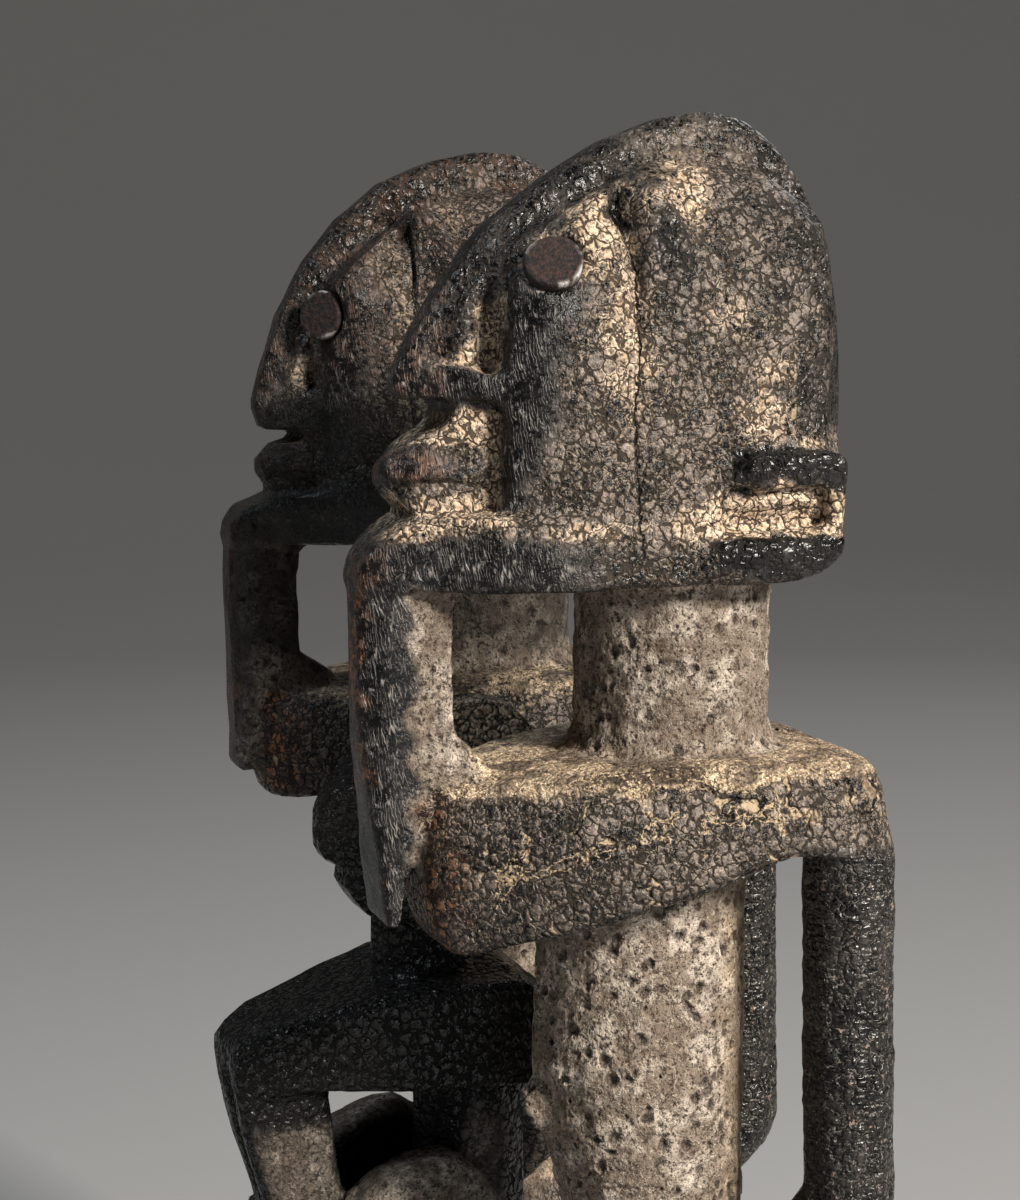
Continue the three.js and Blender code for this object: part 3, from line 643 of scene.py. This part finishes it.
# Height in millimetres
height = calc(look, "MULTIPLY", line, -0.3)
height = calc(look, "MULTIPLY_ADD", calc(look, "MULTIPLY", dome, whole), 0.26, height)
height = calc(look, "MULTIPLY_ADD", split, -0.4, height)
height = calc(look, "MULTIPLY_ADD", hole, -0.9, height)
height = calc(look, "MULTIPLY_ADD", net, 0.15, height)
height = calc(look, "MULTIPLY_ADD", cut_line, 0.24, height)
height = calc(look, "MULTIPLY_ADD", flakes, 0.25, height)
wrinkle = speckle(look, stretched(look, spot, 0.25, 1.0), 1.0, 1.0, 0.6).outputs[0]
height = calc(look, "MULTIPLY_ADD", calc(look, "MULTIPLY", wrinkle, arm_in), 1.0, height)
rugged = calc(look, "MULTIPLY_ADD", whole, -0.22, 0.8)
rugged = calc(look, "MULTIPLY_ADD", worn_and_shade_in, -0.45, rugged)
height = calc(look, "MULTIPLY_ADD", grit, rugged, height)
finished(look, skin, matt, bumped(look, height, 0.001), **{"Specular IOR Level": 0.32})

shaped_by(block, relief, (*relief_sizes.values(), patina))

# Fewer faces where the surface is calm, fewer still on the far side and low down
place = read_out(block.data.vertices, "co", 3)
turned_away = -(facing @ np.array(right.cross(Vector((0, 0, 1)))))
hidden = np.maximum.reduce([soft(-place[:, 0], -0.04, 0.02), soft(0.11 - place[:, 2], 0, 0.02),
                            soft(turned_away, -0.2, 0.5)])
thin = block.vertex_groups.new(name="calm")
levels = 4
for level in range(1, levels + 1):
    share = level / levels
    chosen = np.nonzero(np.abs(hidden - share) < 0.5 / levels)[0]
    thin.add(chosen.tolist(), share, "REPLACE")
faces = len(block.data.polygons) * 2
spare = block.modifiers.new("spare", "DECIMATE")
spare.vertex_group = "calm"
spare.vertex_group_factor = 0.002
spare.ratio = min(1, face_budget / faces)
spare.use_collapse_triangulate = True
made_plain(block)
block.vertex_groups.clear()
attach(block, "root")
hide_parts("carved_block")


# The eyes: heads of forged iron nails, driven in on each side of the two tall faces. The iron
# is rusted dark brown, with an uneven rim whose patches are painted bright: worn iron and a
# painted highlight.
nail_radius, nail_half = 0.0059, 0.0016  # metres, the second is half of the head's thickness
nail_sides = 40
# Each ring has its share of the radius, its share of the half thickness, and how bright it is
nail_rings = ((0.55, -1, 0), (0.97, -0.95, 0), (1, -0.3, 0), (1, 0.25, 0.5), (0.96, 0.72, 1),
              (0.9, 0.86, 0.2), (0.8, 0.8, 0), (0.6, 0.82, 0), (0.35, 0.9, 0))
rust_tones = ((0.003, 0.002, 0.002), (0.036, 0.015, 0.01))
bright_iron_and_highlight = (0.45, 0.42, 0.4)

rust = bpy.data.materials.new("rusted_nail_iron")
rust.use_nodes = True
look = rust.node_tree
look.nodes.clear()
spot = in_millimetres(look, node_of(look, "ShaderNodeTexCoord").outputs["Object"])
scale_marks = speckle(look, spot, 0.9, 4.0, 0.7).outputs[0]
colour = mixed(look, ramp_of(look, scale_marks, 0.4, 0.62), *rust_tones)
# Bright patches on the rim: worn iron, and a painted highlight
shine = ramp_of(look, speckle(look, spot, 0.22).outputs[0], 0.5, 0.58)
shine = calc(look, "MULTIPLY", measure_of(look, "rim"), shine)
colour = mixed(look, shine, colour, bright_iron_and_highlight)
finished(look, colour, ramp_of(look, shine, 0.0, 1.0, 0.72, 0.3),
         bumped(look, scale_marks, 0.0006), Metallic=0.25)

for name in ("near_figure_left_eye", "near_figure_right_eye", "far_figure_left_eye",
             "far_figure_right_eye"):
    blank = bmesh.new()
    blank.from_mesh(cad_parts[name].data)
    bmesh.ops.remove_doubles(blank, verts=blank.verts, dist=touching)
    spots = np.array([v.co for v in blank.verts])
    blank.free()
    middle = (spots.max(0) + spots.min(0)) / 2
    axis = Vector(np.linalg.svd(spots - spots.mean(0))[2][2])
    outward = Vector((middle[0] - math.copysign(figure_x / 1000, middle[0]), -0.01, 0.004))
    if axis.dot(outward) < 0:
        axis.negate()
    across = axis.orthogonal().normalized()
    along = axis.cross(across)
    head = bmesh.new()
    rim_mark = head.verts.layers.float.new("rim")
    rings = []
    for share, rise, bright in nail_rings:
        ring = []
        for step in range(nail_sides):
            angle = step * math.tau / nail_sides
            level, upright = math.cos(angle), math.sin(angle)
            dent = noise.noise(Vector((level, upright, middle[0] * 90))) * 0.05
            out = nail_radius * share * (1 + min(dent, 0.0) * 1.6)
            hammered = noise.noise(
                Vector((level * share * 2, upright * share * 2, middle[0] * 70)))
            lift = nail_half * rise + (hammered - 0.3) * 0.0002 * (share < 0.99)
            vert = head.verts.new(Vector(middle) + across * level * out + along * upright * out
                                  + axis * lift)
            vert[rim_mark] = bright
            ring.append(vert)
        rings.append(ring)
    for lower, upper in zip(rings, rings[1:]):
        for step in range(nail_sides):
            after = (step + 1) % nail_sides
            head.faces.new((lower[step], lower[after], upper[after], upper[step]))
    for ring, rise in ((rings[0], nail_rings[0][1]), (rings[-1], nail_rings[-1][1])):
        tip = head.verts.new(Vector(middle) + axis * nail_half * rise)
        for step in range(nail_sides):
            head.faces.new((ring[step], ring[(step + 1) % nail_sides], tip))
    bmesh.ops.recalc_face_normals(head, faces=head.faces)
    for face in head.faces:
        face.smooth = True
    mesh = bpy.data.meshes.new(name + "_nail")
    head.to_mesh(mesh)
    head.free()
    mesh.materials.append(rust)
    nail = bpy.data.objects.new(name + "_nail", mesh)
    bpy.context.scene.collection.objects.link(nail)
    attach(nail, "root")
    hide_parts(name)


# The stand and the light: a pale floor that rises smoothly at its rim, a warm soft light to the
# camera's right and above, and three weak ones. Two of them are cool, high on the side that the
# faces look to and low behind the camera. The third is white and stands behind the group.
floor_sides = 96
floor_rings = ((0, 0), (1.2, 0), (1.8, 0), (2.2, 0.05), (2.6, 0.2), (2.95, 0.48), (3.2, 0.85),
               (3.35, 1.4), (3.4, 2.4), (3.4, 4))
floor_grey, air_grey = (0.34, 0.34, 0.34, 1), (0.5, 0.5, 0.5, 1)
aim = Vector((0, 0, 0.27))

ground = bmesh.new()
rings = []
for reach, rise in floor_rings:
    rings.append([ground.verts.new((reach * math.cos(step * math.tau / floor_sides),
                                    reach * math.sin(step * math.tau / floor_sides), rise))
                  for step in range(floor_sides if reach else 1)])
for lower, upper in zip(rings, rings[1:]):
    for step in range(floor_sides):
        after = (step + 1) % floor_sides
        if len(lower) == 1:
            ground.faces.new((lower[0], upper[step], upper[after]))
        else:
            ground.faces.new((lower[step], upper[step], upper[after], lower[after]))
for face in ground.faces:
    face.smooth = True
mesh = bpy.data.meshes.new("floor")
ground.to_mesh(mesh)
ground.free()
floor = bpy.data.objects.new("floor", mesh)
bpy.context.scene.collection.objects.link(floor)
paint = bpy.data.materials.new("pale_floor")
paint.use_nodes = True
paint.node_tree.nodes["Principled BSDF"].inputs["Base Color"].default_value = floor_grey
paint.node_tree.nodes["Principled BSDF"].inputs["Roughness"].default_value = 0.95
mesh.materials.append(paint)

for name, spot, size, power, tint in (
        ("main_light", (1.15, 0.62, 0.98), 0.3, 51, (1, 0.94, 0.86)),
        ("sky_light", (-0.2, -0.85, 1.45), 0.4, 7, (0.8, 0.9, 1)),
        ("low_light", (1.35, -0.1, 0.12), 0.25, 1.8, (0.8, 0.9, 1)),
        ("back_light", (-1.0, 1.1, 1.2), 0.7, 4, (1, 1, 1))):
    lamp = bpy.data.lights.new(name, "AREA")
    lamp.size = size
    lamp.energy = power
    lamp.color = tint
    lit = bpy.data.objects.new(name, lamp)
    lit.location = spot
    lit.rotation_euler = (aim - lit.location).to_track_quat("-Z", "Y").to_euler()
    bpy.context.scene.collection.objects.link(lit)
air = bpy.data.worlds.new("room")
air.use_nodes = True
air.node_tree.nodes["Background"].inputs["Color"].default_value = air_grey
air.node_tree.nodes["Background"].inputs["Strength"].default_value = 0.035
bpy.context.scene.world = air
bpy.context.scene.view_settings.view_transform = "Standard"
